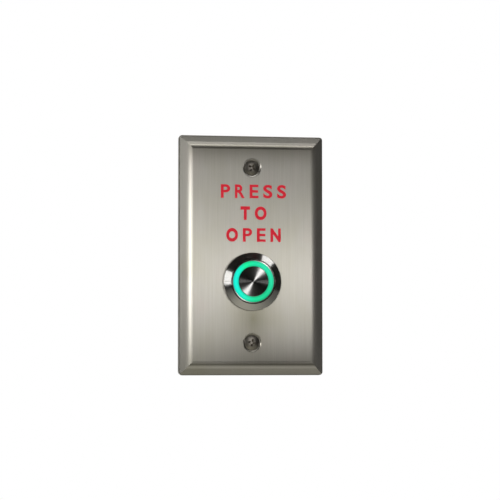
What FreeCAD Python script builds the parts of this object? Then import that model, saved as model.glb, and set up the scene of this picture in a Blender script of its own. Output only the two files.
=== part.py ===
import FreeCAD, Part
import math
import os

from FreeCAD import Vector

# Lengths in millimetres. The wall is the plane y = 0, the room lies towards -Y, and +Z is up.
# The origin is the middle of the cover plate, at the rear edge of its rim.

# Cover plate, pressed from sheet
plate_width = 69.85
plate_height = 114.3
plate_depth = 5.2
plate_sheet = 0.9
plate_side_depth = 2.2
plate_bevel_width = 4.8
plate_bend_inside = 5.4
plate_edge_inside = 0.4
plate_corner = 2.0

# Box screws, No. 6-32 with an oval countersunk head
screw_spacing = 83.34
screw_radius = 1.75
screw_hole_radius = 1.95
screw_head_radius = 3.5
screw_head_land = 0.12
screw_head_dome = 0.95
screw_head_half_angle = math.radians(41.0)
screw_length = 25.4
screw_tip_chamfer = 0.5
recess_top_radius = 2.0
recess_bottom_radius = 0.6
recess_depth = 1.7
recess_arm_width = 0.95
upper_recess_turn = 31.0
lower_recess_turn = 12.0
dimple_mouth_radius = 4.0
dimple_lip_rounding = 1.2

# Push button
button_height = -12.7
button_travel = 2.2
stop_gap = 0.05
running_gap = 0.08
seat_gap = 0.02

# How far a cutting body runs past the piece that it cuts
overrun = 1.0

# Housing: bezel, threaded barrel and inner web
barrel_radius = 12.4
barrel_chamfer = 0.5
bezel_overhang = 1.45
bezel_edge = 1.0
bezel_rise = 2.3
bezel_land = 0.15
edge_break = 0.12
slide_wall = 2.12
lower_step = 0.48
rear_wall = 1.5
mouth_margin = 0.35
mouth_depth = 0.7
panel_hole_margin = 0.2
web_setback = 11.7
web_thickness = 2.0
gasket_thickness = 0.5
gasket_margin = 0.35
nut_sides = 6
nut_margin = 2.6
nut_thickness = 3.5
nut_chamfer = 0.8

# Seal in the housing's groove
seal_setback = 0.8
seal_width = 1.2
seal_depth = 1.0
seal_lip = 0.3

# Sliding button: sleeve, lit ring and cap
sleeve_wall = 0.45
sleeve_proud = 0.15
sleeve_length = 8.15
sleeve_flange = 1.0
sleeve_flange_width = 1.1
ring_band = 2.45
ring_slope = 0.4
ring_tail = 0.4
ring_web_thickness = 1.6
cap_proud = 0.25
cap_thickness = 2.4
cap_break = 0.25
cap_stem_radius = 2.2
cap_stem_length = 4.6

# Plunger and what rides on it
plunger_body_margin = 0.3
plunger_body_length = 6.2
plunger_stem_step = 2.9
plunger_nose_radius = 1.3
plunger_nose_length = 2.0
clip_groove_depth = 0.6
clip_reach = 1.7
clip_thickness = 0.8
clip_mouth = 3.6
bar_setback = 4.6
bar_end_margin = 1.8
bar_width = 3.4
bar_thickness = 0.6

# Springs, with closed turns at both ends
coil_closed_turns = 0.9
coil_closed_spacing = 1.04
coil_steps_per_turn = 14
coil_wire_sides = 6
return_spring_margin = 1.1
return_wire_radius = 0.3
return_spring_turns = 4.5
contact_spring_margin = 0.8
contact_wire_radius = 0.18
contact_spring_turns = 4.5

# Lamp board
board_edge_gap = 0.1
board_inner_margin = 1.1
board_thickness = 1.2
lamp_count = 6
lamp_length = 2.0
lamp_width = 1.25
lamp_height = 0.75
lamp_lens_height = 0.3
resistor_angle = 30.0
resistor_height = 0.5

# Terminals and the moulded base that carries them
base_setback = 1.0
base_wall = 1.28
base_floor_thickness = 4.4
base_flange_thickness = 1.4
base_flange_margin = 0.1
base_boss_height = 1.0
base_boss_margin = 0.3
contact_room = 1.68
contact_overlap = 1.7
contact_leg_margin = 1.2
terminal_reach = 9.0
terminal_thickness = 0.5
terminal_width = 2.8
terminal_taper = 0.6
terminal_eye_radius = 0.7
terminal_eye_inset = 2.2
common_leg_offset = 4.5
common_pad_half_width = 2.4
lamp_pin_width = 1.8
lamp_pin_margin = 1.4
lamp_pin_proud = 0.4
lamp_pin_hole_radius = 1.4

# Levels along Y, from the front of the plate back to the ends of the terminals
plate_front = -plate_depth
plate_back = plate_front + plate_sheet
bezel_back = plate_front - gasket_thickness
bezel_rim = bezel_back - bezel_edge
bezel_front = bezel_rim - bezel_rise
seal_front = bezel_back + seal_setback
sleeve_front = bezel_front - sleeve_proud
sleeve_end = sleeve_front + sleeve_length
slide_bore_end = sleeve_end + button_travel + stop_gap
ring_front = sleeve_front - ring_slope
ring_end = sleeve_end + ring_tail
cap_face = ring_front - cap_proud
ring_web_front = cap_face + cap_thickness
ring_web_rear = ring_web_front + ring_web_thickness
cap_stem_end = ring_web_rear + cap_stem_length
plunger_body_end = ring_web_rear + plunger_body_length
web_front = bezel_back + web_setback
web_rear = web_front + web_thickness
board_front = web_front - board_thickness
clip_front = web_rear + stop_gap
bar_seat = web_rear + bar_setback
bar_rear = bar_seat + bar_thickness
closed_pad_rear = bar_seat - seat_gap
open_pad_front = bar_rear + button_travel + seat_gap
base_front = web_rear + base_setback
base_floor_front = open_pad_front + terminal_thickness + contact_room
common_pad_front = base_floor_front - terminal_thickness
barrel_end = base_floor_front + base_floor_thickness
terminal_end = barrel_end + terminal_reach

# Radii about the button's axis, from the barrel inwards
bezel_radius = barrel_radius + bezel_overhang
panel_hole_radius = barrel_radius + panel_hole_margin
gasket_radius = bezel_radius - gasket_margin
nut_inner_radius = barrel_radius + nut_margin
slide_bore_radius = barrel_radius - slide_wall
lower_bore_radius = slide_bore_radius - lower_step
rear_bore_radius = barrel_radius - rear_wall
sleeve_radius = slide_bore_radius - running_gap
mouth_radius = sleeve_radius + mouth_margin
seal_outer_radius = sleeve_radius + seal_depth
sleeve_flange_radius = sleeve_radius - sleeve_flange_width
ring_outer_radius = sleeve_radius - sleeve_wall
ring_inner_radius = ring_outer_radius - ring_band
cap_radius = ring_inner_radius - running_gap
plunger_body_radius = ring_inner_radius - plunger_body_margin
plunger_stem_radius = plunger_body_radius - plunger_stem_step
clip_groove_radius = plunger_stem_radius - clip_groove_depth
clip_radius = plunger_stem_radius + clip_reach
return_spring_radius = plunger_stem_radius + return_spring_margin
contact_spring_radius = plunger_nose_radius + contact_spring_margin
board_outer_radius = lower_bore_radius - board_edge_gap
board_inner_radius = return_spring_radius + board_inner_margin
lamp_circle_radius = (ring_inner_radius + sleeve_flange_radius) / 2
base_wall_inner_radius = rear_bore_radius - seat_gap - base_wall
base_flange_radius = barrel_radius - base_flange_margin
base_boss_radius = rear_bore_radius - base_boss_margin
contact_leg_offset = base_wall_inner_radius - contact_leg_margin
lamp_pin_offset = base_wall_inner_radius - lamp_pin_margin
bar_length = 2 * (contact_leg_offset - bar_end_margin)
contact_pad_inner = bar_length / 2 - contact_overlap

# Middle of each flat terminal, across the button's axis
side_leg_middle = contact_leg_offset + terminal_thickness / 2
common_leg_middle = -(common_leg_offset + terminal_thickness / 2)

# Screw holes: the countersink narrows by this much for each millimetre of depth
screw_height = screw_spacing / 2
countersink_narrowing = math.tan(screw_head_half_angle)
dimple_end = plate_front + (dimple_mouth_radius - screw_hole_radius) / countersink_narrowing


# A closed face from its corners, where the number beside each corner is the radius that rounds it.
def rounded_face(corners):
    joins = []
    edges = []
    for index, (corner, radius) in enumerate(corners):
        back = (corners[index - 1][0] - corner).normalize()
        ahead = (corners[(index + 1) % len(corners)][0] - corner).normalize()
        half_angle = back.getAngle(ahead) / 2
        inward = (back + ahead).normalize()
        first = corner + back * (radius / math.tan(half_angle))
        last = corner + ahead * (radius / math.tan(half_angle))
        joins.append((first, last))
        if radius:
            nearest = corner + inward * (radius / math.sin(half_angle) - radius)
            edges.append(Part.Arc(first, nearest, last).toShape())
    for index, (first, last) in enumerate(joins):
        following = joins[(index + 1) % len(joins)][0]
        if not last.isEqual(following, Part.Precision.confusion()):
            edges.append(Part.makeLine(last, following))
    return Part.Face(Part.Wire(Part.__sortEdges__(edges)))


# A face in a plane of constant height from (x, y) or, for a rounded corner, (x, y, radius).
def section(points, height):
    return rounded_face([
        (Vector(point[0], point[1], height), point[2] if len(point) > 2 else 0)
        for point in points
    ])


# A turned body about a line along Y, from (radius, depth) or (radius, depth, corner rounding).
def turned(points, height=button_height):
    return section(points, height).revolve(Vector(0, 0, height), Vector(0, 1, 0), 360)


# A plain disc or, with an inner radius, a plain ring.
def ring(outer, inner, front, rear, height=button_height):
    return turned([(inner, front), (outer, front), (outer, rear), (inner, rear)], height)


def block(x_range, y_range, z_range):
    size = [max(r) - min(r) for r in (x_range, y_range, z_range)]
    return Part.makeBox(*size, Vector(min(x_range), min(y_range), min(z_range)))


# A copy turned about a line along Y at the given height.
def turned_round(shape, degrees, height=button_height):
    copy = shape.copy()
    copy.rotate(Vector(0, 0, height), Vector(0, 1, 0), degrees)
    return copy


# One long trough: the plate's cross-section drawn along the other direction.
# The inset gives the inner skin, so both skins keep one sheet thickness between them.
def trough(half_width, half_length, inset, along_z):
    slope = math.atan2(plate_depth - plate_side_depth, plate_bevel_width)
    side = half_width - inset
    flat = half_width - plate_bevel_width - inset * math.tan(slope / 2)
    front = plate_front + inset
    shoulder = -plate_side_depth + inset * math.tan(math.pi / 4 - slope / 2)
    bend = plate_bend_inside + plate_sheet - inset
    edge = plate_edge_inside + plate_sheet - inset
    outline = [
        (-side, 0, 0),
        (-side, shoulder, edge),
        (-flat, front, bend),
        (flat, front, bend),
        (side, shoulder, edge),
        (side, 0, 0),
    ]
    if along_z:
        corners = [(Vector(x, y, -half_length), radius) for x, y, radius in outline]
        return rounded_face(corners).extrude(Vector(0, 0, 2 * half_length))
    corners = [(Vector(-half_length, y, x), radius) for x, y, radius in outline]
    return rounded_face(corners).extrude(Vector(2 * half_length, 0, 0))


# The rounded corners of the plate's outline, seen from the front.
def outline_prism(inset):
    x = plate_width / 2 - inset
    z = plate_height / 2 - inset
    corner = plate_corner - inset
    corners = [(Vector(i * x, plate_front, j * z), corner) for i, j in ((-1, -1), (1, -1), (1, 1), (-1, 1))]
    return rounded_face(corners).extrude(Vector(0, plate_depth, 0))


def skin(inset):
    upright = trough(plate_width / 2, plate_height / 2, inset, True)
    level = trough(plate_height / 2, plate_width / 2, inset, False)
    return upright.common(level).common(outline_prism(inset))


# The sheet that is pressed back around a screw hole, with the sheet's own thickness.
def dimple_wall(height):
    spread = plate_sheet / math.cos(screw_head_half_angle)
    return turned(
        [
            (0, plate_front + plate_sheet / 2),
            (dimple_mouth_radius + spread, plate_front + plate_sheet / 2),
            (screw_hole_radius + spread, dimple_end),
            (0, dimple_end),
        ],
        height,
    )


def dimple_opening(height):
    outside = plate_front - overrun
    lip = dimple_mouth_radius + dimple_lip_rounding
    return turned(
        [
            (0, outside),
            (lip, outside),
            (lip, plate_front),
            (dimple_mouth_radius, plate_front, dimple_lip_rounding),
            (screw_hole_radius, dimple_end),
            (screw_hole_radius, overrun),
            (0, overrun),
        ],
        height,
    )


def make_face_plate():
    plate = skin(0).cut(skin(plate_sheet))
    for height in (screw_height, -screw_height):
        plate = plate.fuse(dimple_wall(height)).cut(dimple_opening(height))
    return plate.cut(ring(panel_hole_radius, 0, plate_front - overrun, overrun)).removeSplitter()


# A screw with an oval countersunk head, its thread left plain.
def screw_body(height, rim):
    neck = rim + (screw_head_radius - screw_radius) / countersink_narrowing
    crown = rim - screw_head_land
    top = crown - screw_head_dome
    tip = rim + screw_length
    bulge = (screw_head_radius ** 2 + screw_head_dome ** 2) / (2 * screw_head_dome)
    sweep = math.asin(screw_head_radius / bulge)
    return turned(
        [
            (0, top),
            (bulge * math.tan(sweep / 2), top, bulge),
            (screw_head_radius, crown),
            (screw_head_radius, rim),
            (screw_radius, neck),
            (screw_radius, tip - screw_tip_chamfer),
            (screw_radius - screw_tip_chamfer, tip),
            (0, tip),
        ],
        height,
    )


# Four tapering arms, for the driver.
def screw_recess(height, top):
    bottom = top + recess_depth
    taper = turned([(0, top), (recess_top_radius, top), (recess_bottom_radius, bottom), (0, bottom)], height)
    half_arm = recess_arm_width / 2
    reach = screw_head_radius
    level_arm = block((-reach, reach), (top, bottom), (height - half_arm, height + half_arm))
    upright_arm = block((-half_arm, half_arm), (top, bottom), (height - reach, height + reach))
    return taper.common(level_arm.fuse(upright_arm))


def make_screw(height, recess_turn):
    seat = plate_front + (dimple_mouth_radius - screw_head_radius) / countersink_narrowing
    rim = seat - seat_gap
    recess = screw_recess(height, rim - screw_head_land - screw_head_dome)
    return screw_body(height, rim).cut(turned_round(recess, recess_turn, height))


def make_switch_housing():
    outside = turned([
        (0, bezel_front),
        (mouth_radius + bezel_land, bezel_front),
        (bezel_radius - edge_break, bezel_rim - edge_break),
        (bezel_radius, bezel_rim + edge_break),
        (bezel_radius, bezel_back),
        (barrel_radius, bezel_back),
        (barrel_radius, barrel_end - barrel_chamfer),
        (barrel_radius - barrel_chamfer, barrel_end),
        (0, barrel_end),
    ])
    body = outside.cut(housing_bore())
    for side in (1, -1):
        height = button_height + side * lamp_pin_offset
        body = body.cut(ring(lamp_pin_hole_radius, 0, web_front - overrun, web_rear + overrun, height))
    return body


# The stepped hole through the housing: mouth, slide with its seal groove, web and rear chamber.
def housing_bore():
    mouth_end = bezel_front + mouth_depth
    seal_groove = seal_outer_radius + seat_gap
    stem_bore = plunger_stem_radius + running_gap
    return turned([
        (0, bezel_front - overrun),
        (mouth_radius, bezel_front - overrun),
        (mouth_radius, mouth_end),
        (slide_bore_radius, mouth_end),
        (slide_bore_radius, seal_front),
        (seal_groove, seal_front),
        (seal_groove, seal_front + seal_width),
        (slide_bore_radius, seal_front + seal_width),
        (slide_bore_radius, slide_bore_end),
        (lower_bore_radius, slide_bore_end),
        (lower_bore_radius, web_front),
        (stem_bore, web_front),
        (stem_bore, web_rear),
        (rear_bore_radius, web_rear),
        (rear_bore_radius, barrel_end + overrun),
        (0, barrel_end + overrun),
    ])


def make_head_gasket():
    return ring(gasket_radius, barrel_radius + seat_gap, bezel_back, plate_front)


def make_panel_nut():
    corner = nut_inner_radius / math.cos(math.pi / nut_sides)
    front = plate_back
    rear = plate_back + nut_thickness
    corners = []
    for step in range(nut_sides):
        angle = 2 * math.pi * step / nut_sides
        place = Vector(corner * math.cos(angle), front, button_height + corner * math.sin(angle))
        corners.append((place, 0))
    prism = rounded_face(corners).extrude(Vector(0, nut_thickness, 0))
    rounding = turned([
        (0, front),
        (corner - nut_chamfer, front),
        (corner, front + nut_chamfer / 2),
        (corner, rear - nut_chamfer / 2),
        (corner - nut_chamfer, rear),
        (0, rear),
    ])
    return prism.common(rounding).cut(ring(barrel_radius + seat_gap, 0, front - overrun, rear + overrun))


def make_wiper_seal():
    middle = seal_front + seal_width / 2
    rear = seal_front + seal_width
    lip_radius = sleeve_radius + seat_gap
    body_radius = lip_radius + seal_lip
    return turned([
        (body_radius, seal_front + seat_gap),
        (seal_outer_radius, seal_front + seat_gap),
        (seal_outer_radius, rear - seat_gap),
        (body_radius, rear - seat_gap),
        (lip_radius, middle),
    ])


def make_button_sleeve():
    return turned([
        (ring_outer_radius, sleeve_front),
        (sleeve_radius - edge_break, sleeve_front),
        (sleeve_radius, sleeve_front + edge_break),
        (sleeve_radius, sleeve_end),
        (sleeve_flange_radius, sleeve_end),
        (sleeve_flange_radius, sleeve_end - sleeve_flange),
        (ring_outer_radius, sleeve_end - sleeve_flange),
    ])


def make_light_ring():
    outer = ring_outer_radius - seat_gap
    shoulder = sleeve_end - sleeve_flange - seat_gap
    neck = sleeve_flange_radius - seat_gap
    bore = cap_stem_radius + seat_gap
    return turned([
        (ring_inner_radius, ring_front),
        (outer, sleeve_front),
        (outer, shoulder),
        (neck, shoulder),
        (neck, ring_end),
        (ring_inner_radius, ring_end),
        (ring_inner_radius, ring_web_rear),
        (bore, ring_web_rear),
        (bore, ring_web_front),
        (ring_inner_radius, ring_web_front),
    ])


def make_push_cap():
    rear = ring_web_front - seat_gap
    return turned([
        (0, cap_face),
        (cap_radius - cap_break, cap_face),
        (cap_radius, cap_face + cap_break),
        (cap_radius, rear),
        (cap_stem_radius, rear),
        (cap_stem_radius, cap_stem_end),
        (0, cap_stem_end),
    ])


def make_plunger():
    bore = cap_stem_radius + seat_gap
    front = ring_web_rear + seat_gap
    groove_rear = clip_front + clip_thickness + seat_gap
    nose_end = bar_seat + plunger_nose_length
    return turned([
        (bore, front),
        (plunger_body_radius, front),
        (plunger_body_radius, plunger_body_end),
        (plunger_stem_radius, plunger_body_end),
        (plunger_stem_radius, clip_front),
        (clip_groove_radius, clip_front),
        (clip_groove_radius, groove_rear),
        (plunger_stem_radius, groove_rear),
        (plunger_stem_radius, bar_seat),
        (plunger_nose_radius, bar_seat),
        (plunger_nose_radius, nose_end),
        (0, nose_end),
        (0, cap_stem_end + seat_gap),
        (bore, cap_stem_end + seat_gap),
    ])


def make_retaining_ring():
    body = ring(clip_radius, clip_groove_radius + seat_gap, clip_front, clip_front + clip_thickness)
    half_mouth = clip_mouth / 2
    mouth = block(
        (-half_mouth, half_mouth),
        (clip_front - overrun, clip_front + clip_thickness + overrun),
        (button_height - 2 * clip_radius, button_height),
    )
    return body.cut(mouth)


# How far along its length a coil has come after a share of its turns.
# The end turns lie close together, and the turns between them share the rest of the length.
def coil_advance(share, length, wire, turns):
    closed = coil_closed_turns / turns
    closed_length = coil_closed_turns * 2 * wire * coil_closed_spacing
    if share < closed:
        return closed_length * share / closed
    if share > 1 - closed:
        return length - closed_length * (1 - share) / closed
    open_share = (share - closed) / (1 - 2 * closed)
    return closed_length + (length - 2 * closed_length) * open_share


# A compression spring between two seats, its wire drawn through the turns with flat sides.
def coil(radius, wire, front, rear, turns):
    start = front + wire
    length = rear - front - 2 * wire
    count = round(coil_steps_per_turn * turns)
    sections = []
    for step in range(count + 1):
        share = step / count
        angle = 2 * math.pi * turns * share
        depth = start + coil_advance(share, length, wire, turns)
        sections.append(wire_section(radius, wire, angle, depth))
    return Part.makeLoft(sections, True, True)


def wire_section(radius, wire, angle, depth):
    corners = []
    for side in range(coil_wire_sides):
        around = 2 * math.pi * side / coil_wire_sides
        reach = radius + wire * math.cos(around)
        place = Vector(reach * math.cos(angle), depth + wire * math.sin(around), reach * math.sin(angle))
        corners.append(place + Vector(0, 0, button_height))
    return Part.makePolygon(corners + [corners[0]])


def make_return_spring():
    return coil(
        return_spring_radius, return_wire_radius, plunger_body_end + seat_gap, web_front - seat_gap,
        return_spring_turns,
    )


def make_contact_spring():
    return coil(
        contact_spring_radius, contact_wire_radius, bar_rear + seat_gap, common_pad_front - seat_gap,
        contact_spring_turns,
    )


def make_led_board():
    board = ring(board_outer_radius, board_inner_radius, board_front, web_front - seat_gap)
    for side in (1, -1):
        board = board.cut(lamp_pin_slot(side))
    return board


def lamp_pin_slot(side):
    half_width = lamp_pin_width / 2 + seat_gap
    half_thickness = terminal_thickness / 2 + seat_gap
    centre = button_height + side * lamp_pin_offset
    return block(
        (-half_width, half_width),
        (board_front - overrun, terminal_end),
        (centre - half_thickness, centre + half_thickness),
    )


# A small chip body on the lamp board, with its length across the radius.
def board_chip(degrees, height):
    front = board_front - height
    half_length = lamp_length / 2
    chip = block(
        (lamp_circle_radius - lamp_width / 2, lamp_circle_radius + lamp_width / 2),
        (front, board_front - seat_gap),
        (button_height - half_length, button_height + half_length),
    )
    return turned_round(chip, degrees)


def make_led(number):
    degrees = 360 / lamp_count * number
    body = board_chip(degrees, lamp_height - lamp_lens_height)
    half_lens = lamp_width / 2
    top = board_front - lamp_height
    lens = block(
        (lamp_circle_radius - half_lens, lamp_circle_radius + half_lens),
        (top, top + lamp_lens_height),
        (button_height - half_lens, button_height + half_lens),
    )
    return body.fuse(turned_round(lens, degrees)).removeSplitter()


def make_terminal_base(terminals):
    plug_radius = rear_bore_radius - seat_gap
    flange_rear = barrel_end + base_flange_thickness
    body = turned([
        (base_wall_inner_radius, base_front),
        (plug_radius, base_front),
        (plug_radius, barrel_end),
        (base_flange_radius, barrel_end),
        (base_flange_radius, flange_rear),
        (base_boss_radius, flange_rear),
        (base_boss_radius, flange_rear + base_boss_height),
        (0, flange_rear + base_boss_height),
        (0, base_floor_front),
        (base_wall_inner_radius, base_floor_front),
    ])
    for slot in terminals:
        body = body.cut(slot)
    return body


# A flat terminal tail with a tapered end and an eye for the wire, before it is turned and placed.
def tail(front, width):
    half = width / 2
    half_thickness = terminal_thickness / 2
    points = [
        (-half, front),
        (half, front),
        (half, terminal_end - terminal_taper),
        (half - terminal_taper, terminal_end),
        (-half + terminal_taper, terminal_end),
        (-half, terminal_end - terminal_taper),
    ]
    strip = section(points, -half_thickness).extrude(Vector(0, 0, terminal_thickness))
    eye = Part.makeCylinder(
        terminal_eye_radius,
        2 * terminal_thickness,
        Vector(0, terminal_end - terminal_eye_inset, -terminal_thickness),
    )
    strip = strip.cut(eye)
    strip.translate(Vector(0, 0, button_height))
    return strip


def tail_slot(x, z, turn, width):
    half = width / 2 + seat_gap
    half_thickness = terminal_thickness / 2 + seat_gap
    slot = block(
        (-half, half),
        (base_floor_front - overrun, terminal_end),
        (button_height - half_thickness, button_height + half_thickness),
    )
    return placed(slot, x, z, turn)


def placed(shape, x, z, turn):
    copy = turned_round(shape, turn)
    copy.translate(Vector(x, 0, z))
    return copy


# The two side terminals differ in their side and in the face of the bar that they meet.
def make_side_terminal(side, pad_front):
    leg = placed(tail(pad_front, terminal_width), side * side_leg_middle, 0, 90)
    pad = block(
        (side * contact_pad_inner, side * (contact_leg_offset + terminal_thickness)),
        (pad_front, pad_front + terminal_thickness),
        (button_height - terminal_width / 2, button_height + terminal_width / 2),
    )
    return leg.fuse(pad).removeSplitter()


def make_common_terminal():
    leg = placed(tail(common_pad_front, terminal_width), 0, common_leg_middle, 0)
    pad = block(
        (-common_pad_half_width, common_pad_half_width),
        (common_pad_front, base_floor_front),
        (button_height - common_leg_offset - terminal_thickness, button_height + common_pad_half_width),
    )
    return leg.fuse(pad).removeSplitter()


def make_lamp_terminal(side):
    return placed(tail(board_front - lamp_pin_proud, lamp_pin_width), 0, side * lamp_pin_offset, 0)


def make_moving_contact():
    bar = block(
        (-bar_length / 2, bar_length / 2),
        (bar_seat, bar_rear),
        (button_height - bar_width / 2, button_height + bar_width / 2),
    )
    return bar.cut(ring(plunger_nose_radius + seat_gap, 0, bar_seat - overrun, bar_rear + overrun))


def base_slots():
    return [
        tail_slot(side_leg_middle, 0, 90, terminal_width),
        tail_slot(-side_leg_middle, 0, 90, terminal_width),
        tail_slot(0, common_leg_middle, 0, terminal_width),
        tail_slot(0, lamp_pin_offset, 0, lamp_pin_width),
        tail_slot(0, -lamp_pin_offset, 0, lamp_pin_width),
    ]


def all_pieces():
    pieces = {
        "face_plate": make_face_plate(),
        "upper_screw": make_screw(screw_height, upper_recess_turn),
        "lower_screw": make_screw(-screw_height, lower_recess_turn),
        "switch_housing": make_switch_housing(),
        "head_gasket": make_head_gasket(),
        "panel_nut": make_panel_nut(),
        "wiper_seal": make_wiper_seal(),
        "button_sleeve": make_button_sleeve(),
        "light_ring": make_light_ring(),
        "push_cap": make_push_cap(),
        "plunger": make_plunger(),
        "retaining_ring": make_retaining_ring(),
        "return_spring": make_return_spring(),
        "led_board": make_led_board(),
        "resistor": board_chip(resistor_angle, resistor_height),
        "terminal_base": make_terminal_base(base_slots()),
        "moving_contact": make_moving_contact(),
        "contact_spring": make_contact_spring(),
        "common_terminal": make_common_terminal(),
        "normally_open_terminal": make_side_terminal(-1, open_pad_front),
        "normally_closed_terminal": make_side_terminal(1, closed_pad_rear - terminal_thickness),
        "lamp_plus_terminal": make_lamp_terminal(1),
        "lamp_minus_terminal": make_lamp_terminal(-1),
    }
    for number in range(lamp_count):
        pieces["led_" + str(number + 1)] = make_led(number)
    return pieces


os.makedirs("parts", exist_ok=True)
for name, shape in all_pieces().items():
    shape.exportStep(os.path.join("parts", name + ".step"))
    print(name, len(shape.Solids), round(shape.Volume, 1), shape.isValid())
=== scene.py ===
import math

import bpy
from mathutils import Matrix, Vector


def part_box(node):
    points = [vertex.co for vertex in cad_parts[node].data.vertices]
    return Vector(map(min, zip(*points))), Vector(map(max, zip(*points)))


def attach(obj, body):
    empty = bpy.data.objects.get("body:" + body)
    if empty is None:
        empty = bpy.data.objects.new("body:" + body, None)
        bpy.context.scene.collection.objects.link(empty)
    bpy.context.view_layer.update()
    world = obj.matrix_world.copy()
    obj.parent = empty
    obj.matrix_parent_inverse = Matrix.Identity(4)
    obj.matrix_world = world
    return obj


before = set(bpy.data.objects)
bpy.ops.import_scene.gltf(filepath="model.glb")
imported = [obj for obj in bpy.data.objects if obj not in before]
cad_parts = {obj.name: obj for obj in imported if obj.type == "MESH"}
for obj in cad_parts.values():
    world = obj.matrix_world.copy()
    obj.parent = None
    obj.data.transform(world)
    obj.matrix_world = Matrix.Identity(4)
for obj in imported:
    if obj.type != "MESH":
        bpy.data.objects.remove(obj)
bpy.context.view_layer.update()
print("frame loaded:", len(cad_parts), "CAD nodes")

mm = 0.001
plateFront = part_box("face_plate")[0].y  # the flat face that the legend is printed on
bezelLow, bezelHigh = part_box("switch_housing")
axisHeight = (bezelLow.z + bezelHigh.z) / 2  # the button's axis runs along Y at this height


# Small helpers for shader and geometry trees

def linearColour(hexText):
    parts = [int(hexText[i:i + 2], 16) / 255 for i in (1, 3, 5)]
    return [c / 12.92 if c <= 0.04045 else ((c + 0.055) / 1.055) ** 2.4 for c in parts] + [1.0]


def setStops(ramp, stops):
    while len(ramp.elements) < len(stops):
        ramp.elements.new(0.5)
    for element, (place, colour) in zip(ramp.elements, stops):
        element.position = place
        element.color = linearColour(colour)


# Settings that start with a capital letter or a number are sockets, stops are those of a colour
# ramp, and the others are the node's own.
def addNode(tree, kind, settings=None, links=None):
    node = tree.nodes.new(kind)
    for key, value in (settings or {}).items():
        if key == "stops":
            setStops(node.color_ramp, value)
        elif isinstance(key, int) or key[0].isupper():
            node.inputs[key].default_value = value
        else:
            setattr(node, key, value)
    for key, source in (links or {}).items():
        tree.links.new(source, node.inputs[key])
    return node


def newMaterial(name, surface):
    material = bpy.data.materials.new(name)
    material.use_nodes = True
    tree = material.node_tree
    shader = tree.nodes["Principled BSDF"]
    for key, value in surface.items():
        shader.inputs[key].default_value = value
    return material, tree, shader


# Noise on Object coordinates, with the size of one feature along each axis in millimetres.
def grainNoise(tree, sizes, detail=2.0, seed=0.0):
    place = addNode(tree, "ShaderNodeTexCoord")
    stretch = addNode(tree, "ShaderNodeMapping", {"Scale": [1 / (s * mm) for s in sizes]},
                      {"Vector": place.outputs["Object"]})
    noise = addNode(tree, "ShaderNodeTexNoise",
                    {"noise_dimensions": "4D", "W": seed, "Scale": 1.0, "Detail": detail},
                    {"Vector": stretch.outputs[0]})
    return noise.outputs["Fac"]


# A soft-edged spot on the plate's front: one in its middle, and nothing beyond its reach across
# and up, or deeper than a millimetre.
def softSpot(tree, middle, reach):
    place = addNode(tree, "ShaderNodeTexCoord")
    scale = (1 / (reach[0] * mm), 1 / mm, 1 / (reach[1] * mm))
    shift = (-middle[0] / reach[0], -plateFront / mm, -middle[1] / reach[1])
    around = addNode(tree, "ShaderNodeMapping", {"Scale": scale, "Location": shift},
                     {"Vector": place.outputs["Object"]})
    return addNode(tree, "ShaderNodeTexGradient", {"gradient_type": "QUADRATIC_SPHERE"},
                   {"Vector": around.outputs[0]}).outputs["Fac"]


# The place seen from the button's axis: x across, y along the axis, z up, with the axis at zero.
def placeFromAxis(tree):
    place = addNode(tree, "ShaderNodeTexCoord")
    return addNode(tree, "ShaderNodeVectorMath", {"operation": "SUBTRACT", 1: (0, 0, axisHeight)},
                   {0: place.outputs["Object"]}).outputs["Vector"]


# From the button's axis straight out to the place, and how far that is in metres.
def outFromAxis(tree):
    outwards = addNode(tree, "ShaderNodeVectorMath", {"operation": "MULTIPLY", 1: (1, 0, 1)},
                       {0: placeFromAxis(tree)})
    radius = addNode(tree, "ShaderNodeVectorMath", {"operation": "LENGTH"},
                     {0: outwards.outputs["Vector"]})
    return outwards.outputs["Vector"], radius.outputs["Value"]


# Lets one pattern set a surface's colour, roughness and relief, each where the look names it.
# Relief is in millimetres.
def followPattern(tree, shader, pattern, look):
    if "tones" in look:
        tone = addNode(tree, "ShaderNodeValToRGB", {"stops": look["tones"]}, {"Fac": pattern})
        tree.links.new(tone.outputs["Color"], shader.inputs["Base Color"])
    if "roughness" in look:
        low, high = look["roughness"]
        rough = addNode(tree, "ShaderNodeMapRange", {"To Min": low, "To Max": high}, {"Value": pattern})
        tree.links.new(rough.outputs["Result"], shader.inputs["Roughness"])
    if "relief" in look:
        bump = addNode(tree, "ShaderNodeBump", {"Distance": look["relief"] * mm}, {"Height": pattern})
        tree.links.new(bump.outputs["Normal"], shader.inputs["Normal"])


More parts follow.
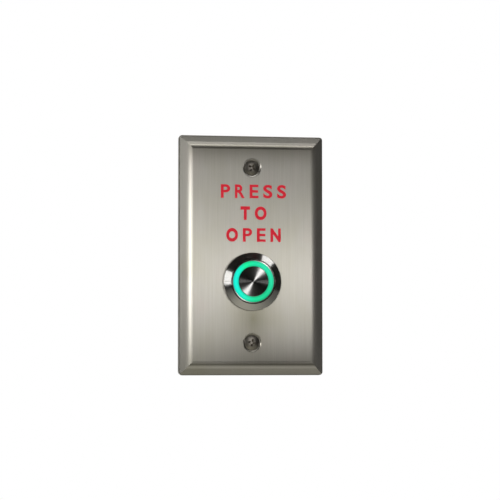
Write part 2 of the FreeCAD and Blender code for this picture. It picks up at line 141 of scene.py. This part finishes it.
# Stainless steel sheet, brushed along its height: reflections spread wide across the grain
# and hardly at all along it, and the eye sees faint upright streaks. They are drawn wider than
# real brushing lines, which are too fine to show. Streak, cloud and relief are in millimetres,
# and so are the middle and reach, across and up, of the soft darker spots of painted shade: one
# under the button, a faint one above it, and bands along the top and bottom of the flat face.
def brushedStainless():
    look = {"streak": (0.22, 4.0, 26.0), "streakDetail": 3.0, "anisotropy": 0.88,
            "streakTones": [(0.25, "#AAA8A3"), (0.75, "#B6B4AF")],
            "roughness": (0.29, 0.33), "relief": 0.001,
            "cloud": (16.0, 16.0, 22.0), "cloudSeed": 3.0, "cloudSway": 0.02,
            "cloudTones": [(0.3, "#DEDCD3"), (0.55, "#E2E0DB"), (0.75, "#E6E0DC")],
            # Painted shade: soft darker spots under the button, over the words above it, along the top
            # bend and along the bottom edge of the flat face.
            "paintedShades": ({"middle": (0.5, -30.5), "reach": (21.0, 36.0), "colour": "#C0BFB0"},
                        {"middle": (0.0, 13.0), "reach": (80.0, 30.0), "colour": "#F1F1EF"},
                        {"middle": (4.0, 53.0), "reach": (180.0, 14.0), "colour": "#A09E94"},
                        {"middle": (16.0, -55.0), "reach": (110.0, 22.0), "colour": "#96958E"})}
    material, tree, shader = newMaterial("brushed stainless sheet",
                                         {"Metallic": 1.0, "Anisotropic": look["anisotropy"]})
    streak = grainNoise(tree, look["streak"], look["streakDetail"])
    cloud = grainNoise(tree, look["cloud"], seed=look["cloudSeed"])
    streakTone = addNode(tree, "ShaderNodeValToRGB", {"stops": look["streakTones"]}, {"Fac": streak})
    cloudTone = addNode(tree, "ShaderNodeValToRGB", {"stops": look["cloudTones"]}, {"Fac": cloud})
    # Inputs 6 and 7 and output 2 of a Mix node are its colours.
    colour = addNode(tree, "ShaderNodeMix", {"data_type": "RGBA", "blend_type": "MULTIPLY", 0: 1.0},
                     {6: streakTone.outputs["Color"], 7: cloudTone.outputs["Color"]})
    # Painted shade: each spot darkens the plate's colour towards its own colour.
    for paintedShade in look["paintedShades"]:
        colour = addNode(tree, "ShaderNodeMix", {"data_type": "RGBA", "blend_type": "MULTIPLY",
                                                 7: linearColour(paintedShade["colour"])},
                         {0: softSpot(tree, paintedShade["middle"], paintedShade["reach"]), 6: colour.outputs[2]})
    tree.links.new(colour.outputs[2], shader.inputs["Base Color"])
    followPattern(tree, shader, streak, look)
    # The tangent points across the grain and sways a little, as hand-guided brushing does.
    sway = addNode(tree, "ShaderNodeMapRange", {"To Min": -look["cloudSway"], "To Max": look["cloudSway"]},
                   {"Value": cloud})
    acrossGrain = addNode(tree, "ShaderNodeCombineXYZ", {"X": 1.0}, {"Z": sway.outputs["Result"]})
    tree.links.new(acrossGrain.outputs[0], shader.inputs["Tangent"])
    return material


# Stainless steel turned on a lathe: fine rings about the axis throw each lamp into a fan.
bezelLook = {"name": "turned stainless bezel", "ringWidth": 0.12, "anisotropy": 0.85,
             "tones": [(0.3, "#CBC9C5"), (0.7, "#D8D6D2")], "roughness": (0.2, 0.28)}
capLook = {"name": "turned stainless cap", "ringWidth": 0.1, "anisotropy": 1.0,
           "tones": [(0.3, "#8E8C8A"), (0.7, "#9A9896")], "roughness": (0.2, 0.28)}


def turnedStainless(look):
    material, tree, shader = newMaterial(look["name"],
                                         {"Metallic": 1.0, "Anisotropic": look["anisotropy"]})
    outwards, radius = outFromAxis(tree)
    tree.links.new(outwards, shader.inputs["Tangent"])
    rings = addNode(tree, "ShaderNodeTexNoise",
                    {"noise_dimensions": "1D", "Scale": 1 / (look["ringWidth"] * mm), "Detail": 2.0},
                    {"W": radius})
    followPattern(tree, shader, rings.outputs["Fac"], look)
    return material


# Clear polycarbonate, frosted and lit green from behind: it glows all over, most along the middle
# of its band, and leans to cyan on the left, where the eye looks deepest into it. The colours of
# its upper and lower half run from left to right.
def litPolycarbonate():
    look = {"upper": [(0.0, "#1EFFE4"), (0.2, "#20FFA6"), (0.6, "#28EAAE"), (0.95, "#38F2BC")],
            "lower": [(0.0, "#1EFFE4"), (0.3, "#2CF4BC"), (0.5, "#22E8A0"), (0.9, "#22D896")],
            "edgeGlow": 0.72, "cloud": (2.4, 2.4, 2.4), "cloudSeed": 5.0, "cloudGlow": (0.9, 1.06),
            "tones": [(0.3, "#06382A"), (0.7, "#084233")]}
    ringLow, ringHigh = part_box("light_ring")
    capLow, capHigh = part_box("push_cap")
    outer = (ringHigh.x - ringLow.x) / 2
    inner = (capHigh.x - capLow.x) / 2
    material, tree, shader = newMaterial("lit frosted polycarbonate",
                                         {"Roughness": 0.34, "IOR": 1.585, "Specular IOR Level": 0.3,
                                          "Emission Strength": 1.0})
    apart = addNode(tree, "ShaderNodeSeparateXYZ", links={"Vector": placeFromAxis(tree)})
    edgeToEdge = {"interpolation_type": "SMOOTHSTEP", "From Min": -outer, "From Max": outer}
    across = addNode(tree, "ShaderNodeMapRange", edgeToEdge, {"Value": apart.outputs["X"]})
    upward = addNode(tree, "ShaderNodeMapRange", edgeToEdge, {"Value": apart.outputs["Z"]})
    upper = addNode(tree, "ShaderNodeValToRGB", {"stops": look["upper"]},
                    {"Fac": across.outputs["Result"]})
    lower = addNode(tree, "ShaderNodeValToRGB", {"stops": look["lower"]},
                    {"Fac": across.outputs["Result"]})
    hue = addNode(tree, "ShaderNodeMix", {"data_type": "RGBA"},
                  {0: upward.outputs["Result"], 6: lower.outputs["Color"], 7: upper.outputs["Color"]})
    offset = addNode(tree, "ShaderNodeMath", {"operation": "SUBTRACT", 1: (outer + inner) / 2},
                     {0: outFromAxis(tree)[1]})
    fromMiddle = addNode(tree, "ShaderNodeMath", {"operation": "ABSOLUTE"}, {0: offset.outputs[0]})
    level = addNode(tree, "ShaderNodeMapRange",
                    {"interpolation_type": "SMOOTHSTEP", "From Min": 0.0, "From Max": (outer - inner) / 2,
                     "To Min": 1.0, "To Max": look["edgeGlow"]}, {"Value": fromMiddle.outputs[0]})
    cloud = grainNoise(tree, look["cloud"], seed=look["cloudSeed"])
    uneven = addNode(tree, "ShaderNodeMapRange",
                     {"To Min": look["cloudGlow"][0], "To Max": look["cloudGlow"][1]}, {"Value": cloud})
    glow = addNode(tree, "ShaderNodeMath", {"operation": "MULTIPLY"},
                   {0: level.outputs["Result"], 1: uneven.outputs["Result"]})
    lit = addNode(tree, "ShaderNodeVectorMath", {"operation": "SCALE"},
                  {0: hue.outputs[2], "Scale": glow.outputs[0]})
    tree.links.new(lit.outputs["Vector"], shader.inputs["Emission Color"])
    followPattern(tree, shader, cloud, look)
    return material


# Finishes that one fine grain makes uneven. The grain's size along X, Y and Z and its relief are
# in millimetres.
metal = {"Metallic": 1.0}
plastic = {"IOR": 1.5}
grainedLooks = {
    # Turned and zinc-plated steel: the bath leaves a soft grey shine with small dark pits.
    "screw_steel": {"name": "zinc plated screw steel", "surface": metal, "grain": (0.5, 0.5, 0.5),
                    "detail": 4.0, "tones": [(0.3, "#8C867D"), (0.6, "#A39D93")],
                    "roughness": (0.26, 0.4), "relief": 0.006},
    # Nickel-plated brass, machined from bar: warm silver with faint tool lines.
    "nickel_brass": {"name": "nickel plated brass", "surface": metal, "grain": (3.0, 0.25, 3.0),
                     "detail": 2.0, "tones": [(0.3, "#B3AB98"), (0.7, "#C4BDAC")],
                     "roughness": (0.24, 0.36), "relief": 0.004},
    # Hard-drawn stainless spring wire: smooth, with a slight haze.
    "spring_steel": {"name": "drawn spring wire", "surface": metal, "grain": (0.6, 0.6, 0.6),
                     "detail": 2.0, "tones": [(0.3, "#9A9B9B"), (0.7, "#B0B1B0")],
                     "roughness": (0.18, 0.3)},
    # Brass strip flashed with silver, rolled and then blanked: soft warm silver with rolling lines.
    "contact_copper": {"name": "silver-flashed brass strip", "surface": metal,
                       "grain": (0.18, 6.0, 0.18), "detail": 3.0,
                       "tones": [(0.3, "#C2B89E"), (0.7, "#D6CFBC")],
                       "roughness": (0.26, 0.42), "relief": 0.004},
    # Nitrile rubber, moulded: dull black with a faint bloom.
    "black_rubber": {"name": "moulded nitrile rubber",
                     "surface": {"IOR": 1.52, "Specular IOR Level": 0.35}, "grain": (1.2, 1.2, 1.2),
                     "detail": 4.0, "tones": [(0.35, "#151616"), (0.75, "#232423")],
                     "roughness": (0.6, 0.78), "relief": 0.01},
    # Acetal in its natural colour, moulded: milky off-white with a waxy sheen.
    "white_plastic": {"name": "moulded natural acetal", "surface": plastic, "grain": (0.8, 0.8, 0.8),
                      "detail": 3.0, "tones": [(0.3, "#DCD9CF"), (0.7, "#E8E5DB")],
                      "roughness": (0.36, 0.48), "relief": 0.006},
    # Black nylon with glass fibre, moulded: the fibres leave it near black and half dull.
    "black_plastic": {"name": "moulded black glass-filled nylon", "surface": plastic,
                      "grain": (0.6, 0.6, 0.6), "detail": 3.0,
                      "tones": [(0.3, "#1A1A1B"), (0.7, "#242425")],
                      "roughness": (0.39, 0.51), "relief": 0.006},
    # Solder mask printed on glass fibre board: clear green over the weave.
    "board": {"name": "green solder mask on glass fibre", "surface": plastic,
              "grain": (1.5, 1.5, 1.5), "detail": 3.0, "tones": [(0.3, "#175F37"), (0.7, "#1F7043")],
              "roughness": (0.29, 0.41), "relief": 0.006},
    # White resin of the lamps' packages, moulded: bright, with a soft shine.
    "lamp_body": {"name": "white lamp package resin", "surface": plastic, "grain": (0.3, 0.3, 0.3),
                  "detail": 3.0, "tones": [(0.3, "#E2E2D8"), (0.7, "#EEEEE6")],
                  "roughness": (0.24, 0.36), "relief": 0.006},
    # The resistor's glazed black top: the smoothest of the small pieces.
    "resistor_body": {"name": "glazed black resistor chip", "surface": plastic,
                      "grain": (0.3, 0.3, 0.3), "detail": 3.0,
                      "tones": [(0.3, "#141414"), (0.7, "#1E1E1F")],
                      "roughness": (0.19, 0.31), "relief": 0.006},
    # Red screen ink, printed flat: satin, with the slightly uneven cover of a screen mesh. The
    # mesh is drawn coarser than a real one, which is too fine to show.
    "legend_ink": {"name": "red screen ink", "surface": {"IOR": 1.48, "Specular IOR Level": 0.3},
                   "grain": (0.5, 0.5, 0.5), "detail": 3.0,
                   "tones": [(0.35, "#CC142A"), (0.65, "#DC2036")],
                   "roughness": (0.42, 0.55), "relief": 0.004},
}


def grainedFinish(look):
    material, tree, shader = newMaterial(look["name"], look["surface"])
    followPattern(tree, shader, grainNoise(tree, look["grain"], look["detail"]), look)
    return material


finishes = {slot: grainedFinish(look) for slot, look in grainedLooks.items()}
finishes["brushed_plate"] = brushedStainless()
finishes["turned_steel"] = turnedStainless(bezelLook)
finishes["ring_plastic"] = litPolycarbonate()
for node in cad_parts.values():
    for holder in node.material_slots:
        holder.material = finishes[holder.material.name.split(".")[0]]
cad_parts["push_cap"].material_slots[0].material = turnedStainless(capLook)
print("finishes given to", len(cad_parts), "nodes")


# The printed legend: generic words in plain letters, one mesh for the three lines. Lengths are in
# millimetres, and boldness moves a letter's outline out, so that all strokes look equally thick.
legend = {"lines": ("PRESS", "TO", "OPEN"), "capHeight": 6.5, "topLine": 33.6, "linePitch": 10.4,
          "middle": 0.7, "gap": 2.3, "thickness": 0.03, "curveSteps": 6,
          "boldness": {"P": 0.026, "R": 0.03, "E": 0.024, "S": 0.032, "T": 0.056, "O": 0.052,
                       "N": 0.05},
          "widths": {"P": 4.5, "R": 4.8, "E": 4.3, "S": 4.4, "T": 4.6, "O": 5.7, "N": 5.0}}


def addToScene(name, data):
    thing = bpy.data.objects.new(name, data)
    bpy.context.scene.collection.objects.link(thing)
    return thing


# The mesh that an object's modifiers or text give, as a plain mesh of its own.
def evaluatedMesh(thing):
    bpy.context.view_layer.update()
    return bpy.data.meshes.new_from_object(
        thing.evaluated_get(bpy.context.evaluated_depsgraph_get()))


def letterMesh(letter, width, height):
    curve = bpy.data.curves.new("letter", "FONT")
    curve.body = letter
    curve.offset = legend["boldness"][letter]
    curve.resolution_u = legend["curveSteps"]
    holder = addToScene("letter", curve)
    flat = evaluatedMesh(holder)
    bpy.data.objects.remove(holder)
    bpy.data.curves.remove(curve)
    xs = [v.co.x for v in flat.vertices]
    ys = [v.co.y for v in flat.vertices]
    flat.transform(Matrix.Translation((-min(xs), -min(ys), 0)))
    flat.transform(Matrix.Diagonal((width / (max(xs) - min(xs)), height / (max(ys) - min(ys)), 1, 1)))
    return flat


def makeLegend():
    parts = []
    for row, word in enumerate(legend["lines"]):
        wide = sum(legend["widths"][c] for c in word) + legend["gap"] * (len(word) - 1)
        left = legend["middle"] - wide / 2
        base = legend["topLine"] - legend["capHeight"] - legend["linePitch"] * row
        for letter in word:
            flat = letterMesh(letter, legend["widths"][letter], legend["capHeight"])
            standing = Matrix.Translation((left * mm, plateFront, base * mm)) \
                @ Matrix.Rotation(math.pi / 2, 4, "X") @ Matrix.Scale(mm, 4)
            flat.transform(standing)
            parts.append(addToScene("letter", flat))
            left += legend["widths"][letter] + legend["gap"]
    with bpy.context.temp_override(active_object=parts[0], selected_editable_objects=parts):
        bpy.ops.object.join()
    piece = parts[0]
    piece.name = "door_legend"
    piece.data.shade_flat()
    piece.data.materials.clear()
    piece.data.materials.append(finishes["legend_ink"])
    thicken = piece.modifiers.new("ink", "SOLIDIFY")
    thicken.thickness = legend["thickness"] * mm
    thicken.offset = 1.0
    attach(piece, "station")


makeLegend()
print("legend printed")


# Rolled threads on the barrel and on both screws: one ridge that winds along the shank. Lengths
# are in millimetres, ridgeShare is half a ridge's width over the pitch, and copies stand above
# each other, the lowest one first.
threads = {
    "barrel_thread": {"finish": "turned_steel", "radius": 12.4, "pitch": 1.0, "ridgeShare": 0.46,
                      "proud": 0.16, "from": -0.5, "to": 21.2, "stepsPerTurn": 64,
                      "count": 1, "lowest": axisHeight / mm, "apart": 0.0},
    "screw_threads": {"finish": "screw_steel", "radius": 1.75, "pitch": 0.79, "ridgeShare": 0.46,
                      "proud": 0.14, "from": -1.8, "to": 20.0, "stepsPerTurn": 20,
                      "count": 2, "lowest": -41.67, "apart": 83.34},
}


def threadTree():
    tree = bpy.data.node_groups.new("rolled thread", "GeometryNodeTree")
    tree.interface.new_socket("Geometry", in_out="INPUT", socket_type="NodeSocketGeometry")
    tree.interface.new_socket("Geometry", in_out="OUTPUT", socket_type="NodeSocketGeometry")
    for name in ("Radius", "Length", "Turns", "Ridge Half Width", "Ridge Height"):
        tree.interface.new_socket(name, in_out="INPUT", socket_type="NodeSocketFloat")
    for name in ("Steps Per Turn", "Count"):
        tree.interface.new_socket(name, in_out="INPUT", socket_type="NodeSocketInt")
    for name in ("First Place", "Step To Next"):
        tree.interface.new_socket(name, in_out="INPUT", socket_type="NodeSocketVector")
    tree.interface.new_socket("Finish", in_out="INPUT", socket_type="NodeSocketMaterial")
    sizes = addNode(tree, "NodeGroupInput").outputs
    helix = addNode(tree, "GeometryNodeCurveSpiral",
                    links={"Resolution": sizes["Steps Per Turn"], "Rotations": sizes["Turns"],
                           "Start Radius": sizes["Radius"], "End Radius": sizes["Radius"],
                           "Height": sizes["Length"]})
    upright = addNode(tree, "GeometryNodeSetCurveNormal", {"mode": "Z_UP"}, {"Curve": helix.outputs[0]})
    # A circle of four points is a square on its corner, which makes a sharp crest.
    shape = addNode(tree, "GeometryNodeCurvePrimitiveCircle", {"Resolution": 4, "Radius": 1.0})
    flattened = addNode(tree, "ShaderNodeCombineXYZ", links={"X": sizes["Ridge Height"],
                                                             "Y": sizes["Ridge Half Width"]})
    ridge = addNode(tree, "GeometryNodeTransform", links={"Geometry": shape.outputs[0],
                                                          "Scale": flattened.outputs[0]})
    wound = addNode(tree, "GeometryNodeCurveToMesh", {"Fill Caps": True},
                    {"Curve": upright.outputs[0], "Profile Curve": ridge.outputs[0]})
    lying = addNode(tree, "GeometryNodeTransform", {"Rotation": (-math.pi / 2, 0, 0)},
                    {"Geometry": wound.outputs[0]})
    places = addNode(tree, "GeometryNodeMeshLine",
                     links={"Count": sizes["Count"], "Start Location": sizes["First Place"],
                            "Offset": sizes["Step To Next"]})
    copies = addNode(tree, "GeometryNodeInstanceOnPoints", links={"Points": places.outputs[0],
                                                                  "Instance": lying.outputs[0]})
    real = addNode(tree, "GeometryNodeRealizeInstances", links={"Geometry": copies.outputs[0]})
    painted = addNode(tree, "GeometryNodeSetMaterial", links={"Geometry": real.outputs[0],
                                                              "Material": sizes["Finish"]})
    addNode(tree, "NodeGroupOutput", links={"Geometry": painted.outputs[0]})
    return tree


# Runs a geometry tree with its named inputs, and leaves its result as a plain mesh.
def grownPiece(name, tree, inputs):
    piece = addToScene(name, bpy.data.meshes.new(name))
    grow = piece.modifiers.new("grow", "NODES")
    grow.node_group = tree
    sockets = {item.name: item.identifier for item in tree.interface.items_tree
               if item.in_out == "INPUT"}
    for key, value in inputs.items():
        grow[sockets[key]] = value
    grown = evaluatedMesh(piece)
    piece.modifiers.remove(grow)
    piece.data = grown
    return piece


def makeThreads():
    tree = threadTree()
    for name, size in threads.items():
        length = size["to"] - size["from"]
        inputs = {"Radius": size["radius"] * mm, "Length": length * mm, "Turns": length / size["pitch"],
                  "Ridge Half Width": size["pitch"] * size["ridgeShare"] * mm,
                  "Ridge Height": size["proud"] * mm,
                  "Steps Per Turn": size["stepsPerTurn"], "Count": size["count"],
                  "First Place": (0, size["from"] * mm, size["lowest"] * mm),
                  "Step To Next": (0, 0, size["apart"] * mm), "Finish": finishes[size["finish"]]}
        piece = grownPiece(name, tree, inputs)
        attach(piece, "station")


makeThreads()
print("threads wound")


# Camera, from the photograph: left of the plate's axis and a little below its middle. Angles are
# in degrees, lengths in millimetres.
view = {"yaw": 10.0, "pitch": -2.83, "distance": 968.4, "aimAcross": -0.09, "aimUp": 2.65,
        "focalPixels": 2024.0, "imagePixels": 500, "sensor": 36.0, "nearest": 50.0}
yaw, pitch = math.radians(view["yaw"]), math.radians(view["pitch"])
backward = Vector((-math.sin(yaw) * math.cos(pitch), -math.cos(yaw) * math.cos(pitch),
                   math.sin(pitch)))
cameraData = bpy.data.cameras.new("photo camera")
cameraData.sensor_width = view["sensor"]
cameraData.lens = view["focalPixels"] / view["imagePixels"] * view["sensor"]
cameraData.clip_start = view["nearest"] * mm
camera = addToScene("photo camera", cameraData)
camera.location = Vector((view["aimAcross"], 0, view["aimUp"])) * mm + backward * view["distance"] * mm
camera.rotation_euler = (-backward).to_track_quat("-Z", "Y").to_euler()
bpy.context.scene.camera = camera
print("camera placed")


# A direction as seen from the plate: azimuth from straight ahead towards the right, then elevation.
def towards(azimuth, elevation):
    a, e = math.radians(azimuth), math.radians(elevation)
    return Vector((math.sin(a) * math.cos(e), -math.cos(a) * math.cos(e), math.sin(e)))


# A pale floor, well below the part, and a dark curtain around the camera for the metal to mirror.
# Lengths are in metres and angles in degrees, and the camera sees neither of the two.
studio = {"floorHeight": -0.2, "floorRadius": 0.7, "floorStep": 5, "floorGrain": 40.0,
          "floorTones": [(0.3, "#DEDEDC"), (0.7, "#E6E6E4")], "floorRoughness": 0.7,
          "curtainRadius": 1.7, "curtainFrom": -120, "curtainTo": 120, "curtainStep": 10,
          "curtainLow": -60, "curtainHigh": 90, "curtainRise": 5, "curtainColour": "#3A3A38",
          "curtainRoughness": 0.9, "ambient": 0.4}


def unseenObject(name, corners, faces, material):
    mesh = bpy.data.meshes.new(name)
    mesh.from_pydata(corners, [], faces)
    mesh.materials.append(material)
    thing = addToScene(name, mesh)
    thing.visible_camera = False


def makeFloor():
    material, tree, shader = newMaterial("pale studio floor", {"Roughness": studio["floorRoughness"]})
    followPattern(tree, shader, grainNoise(tree, (studio["floorGrain"],) * 3),
                  {"tones": studio["floorTones"]})
    rim = [(math.cos(t) * studio["floorRadius"], math.sin(t) * studio["floorRadius"],
            studio["floorHeight"])
           for t in [math.radians(a) for a in range(0, 360, studio["floorStep"])]]
    unseenObject("studio_floor", rim, [range(len(rim))], material)


def makeCurtain():
    material = newMaterial("black curtain", {"Roughness": studio["curtainRoughness"],
                                             "Base Color": linearColour(studio["curtainColour"])})[0]
    azimuths = range(studio["curtainFrom"], studio["curtainTo"] + 1, studio["curtainStep"])
    levels = range(studio["curtainLow"], studio["curtainHigh"] + 1, studio["curtainRise"])
    points = [towards(a, e) * studio["curtainRadius"] for e in levels for a in azimuths]
    wide = len(azimuths)
    quads = [(r * wide + c, r * wide + c + 1, (r + 1) * wide + c + 1, (r + 1) * wide + c)
             for r in range(len(levels) - 1) for c in range(wide - 1)]
    unseenObject("black_curtain", points, quads, material)


makeFloor()
makeCurtain()
print("floor and curtain placed")


# Soft lamps of a product studio, each a panel that faces the button and lights only the pieces
# that it names, as if flags kept it off the others. Angles are in degrees and lengths in metres,
# and a panel with a lean is turned about its own beam.
plateOnly = ("face_plate", "door_legend")
buttonFront = ("push_cap", "button_sleeve")
turnedPieces = ("switch_housing", "button_sleeve", "upper_screw", "lower_screw", "barrel_thread")
lamps = {
    # The plate's flat and its left part, which is the brightest
    "front left panel": {"azimuth": -21, "elevation": 3.4, "away": 1.15, "wide": 0.16, "tall": 0.16,
                         "watts": 2.6, "only": plateOnly},
    "front right panel": {"azimuth": 20, "elevation": 2.3, "away": 1.15, "wide": 0.16, "tall": 0.03,
                          "watts": 0.66, "only": plateOnly},
    "upper front panel": {"azimuth": 8, "elevation": 17, "away": 1.2, "wide": 0.4, "tall": 0.3,
                          "watts": 0.27, "only": plateOnly},
    # The plate's four bevels
    "overhead panel": {"azimuth": 4, "elevation": 50, "away": 1.2, "wide": 0.5, "tall": 0.87,
                       "watts": 3.5, "only": plateOnly},
    "overhead strip": {"azimuth": 4, "elevation": 44, "away": 1.2, "wide": 0.5, "tall": 0.14,
                       "watts": 1.0, "only": plateOnly},
    "left side panel": {"azimuth": -58, "elevation": 14, "away": 1.1, "wide": 0.08, "tall": 0.62,
                        "watts": 0.87, "only": plateOnly},
    "right side panel": {"azimuth": 72, "elevation": 8, "away": 1.1, "wide": 0.08, "tall": 0.62,
                         "watts": 0.09, "only": plateOnly},
    "low panel": {"azimuth": 6, "elevation": -58, "away": 0.2, "wide": 0.3, "tall": 0.08,
                  "watts": 0.03, "only": plateOnly},
    "low front panel": {"azimuth": 8, "elevation": -27, "away": 0.36, "wide": 0.3, "tall": 0.14,
                        "watts": 0.036, "only": plateOnly},
    # The plate as seen from its sides
    "low left fill": {"azimuth": -47, "elevation": -19, "away": 0.5, "wide": 0.5, "tall": 0.14,
                      "watts": 0.31, "only": plateOnly},
    "low right fill": {"azimuth": 47, "elevation": -19, "away": 0.5, "wide": 0.5, "tall": 0.14,
                       "watts": 0.31, "only": plateOnly},
    # The two white sectors of the bezel
    "left strip": {"azimuth": -61, "elevation": 10, "away": 1.1, "wide": 0.08, "tall": 0.62,
                   "watts": 1.4, "only": turnedPieces},
    "far right panel": {"azimuth": 75, "elevation": 47, "away": 1.2, "wide": 0.16, "tall": 0.5,
                        "lean": 19, "watts": 1.2, "only": turnedPieces + ("push_cap",)},
    # The fans of the cap: the steep one, and the faint one across
    "cap panel": {"azimuth": 19.5, "elevation": 13.6, "away": 1.2, "wide": 0.12, "tall": 0.14,
                  "lean": -34, "watts": 2.3, "only": buttonFront},
    "cap side panel": {"azimuth": 30, "elevation": 1.2, "away": 1.2, "wide": 0.12, "tall": 0.1,
                       "watts": 0.3, "only": buttonFront},
    # The screws' heads and the ink
    "upper screw panel": {"azimuth": 4, "elevation": 14, "away": 1.1, "wide": 0.9, "tall": 1.2,
                          "watts": 2.2, "only": ("upper_screw",)},
    "lower screw panel": {"azimuth": 4, "elevation": 14, "away": 1.1, "wide": 0.9, "tall": 1.2,
                          "watts": 3.0, "only": ("lower_screw",)},
    "legend panel": {"azimuth": -30, "elevation": 30, "away": 1.0, "wide": 0.4, "tall": 0.4,
                     "watts": 1.9, "only": ("door_legend",)},
}
# Small lamps that light only the floor, for the lower half of the bezel to mirror
floorLamps = {
    "near floor lamp": {"across": -0.05, "ahead": 0.09, "height": 0.05, "size": 0.06, "watts": 0.27,
                        "tint": (1.0, 0.98, 0.83)},
    "far floor lamp": {"across": 0.0, "ahead": 0.42, "height": 0.1, "size": 0.2, "watts": 0.18,
                       "tint": (1.0, 0.98, 0.83)},
}


# A panel at a place in metres, turned as the matrix says.
def hangLamp(name, place, facing, size, watts, only, tint=(1, 1, 1)):
    data = bpy.data.lights.new(name, "AREA")
    data.shape = "RECTANGLE"
    data.size, data.size_y = size
    data.energy = watts
    data.color = tint
    lamp = addToScene(name, data)
    lamp.matrix_world = Matrix.Translation(place) @ facing
    lamp.visible_camera = False
    lit = bpy.data.collections.new(name + " lights")
    for member in only:
        lit.objects.link(bpy.data.objects[member])
    lamp.light_linking.receiver_collection = lit


for lampName, setup in lamps.items():
    out = towards(setup["azimuth"], setup["elevation"])
    facing = (-out).to_track_quat("-Z", "Y").to_matrix().to_4x4() \
        @ Matrix.Rotation(math.radians(setup.get("lean", 0)), 4, "Z")
    hangLamp(lampName, out * setup["away"] + Vector((0, 0, axisHeight)), facing,
             (setup["wide"], setup["tall"]), setup["watts"], setup["only"])
for lampName, setup in floorLamps.items():
    hangLamp(lampName, Vector((setup["across"], -setup["ahead"], setup["height"])),
             Matrix.Identity(4), (setup["size"], setup["size"]), setup["watts"],
             ("studio_floor",), setup["tint"])
print("lamps hung")


# A white room: at full strength for the camera and for what metal and the ring mirror or let
# through, and dimmer as light on the pieces.
world = bpy.data.worlds.new("white studio")
bpy.context.scene.world = world
world.use_nodes = True
worldTree = world.node_tree
worldTree.nodes.clear()
path = addNode(worldTree, "ShaderNodeLightPath")
seen = addNode(worldTree, "ShaderNodeMath", {"operation": "MAXIMUM"},
               {0: path.outputs["Is Camera Ray"], 1: path.outputs["Is Glossy Ray"]})
seenAll = addNode(worldTree, "ShaderNodeMath", {"operation": "MAXIMUM"},
                  {0: seen.outputs[0], 1: path.outputs["Is Transmission Ray"]})
strength = addNode(worldTree, "ShaderNodeMapRange", {"To Min": studio["ambient"], "To Max": 1.0},
                   {"Value": seenAll.outputs[0]})
background = addNode(worldTree, "ShaderNodeBackground", {"Color": (1, 1, 1, 1)},
                     {"Strength": strength.outputs[0]})
addNode(worldTree, "ShaderNodeOutputWorld", links={"Surface": background.outputs[0]})
bpy.context.scene.view_settings.view_transform = "Standard"
print("studio set")
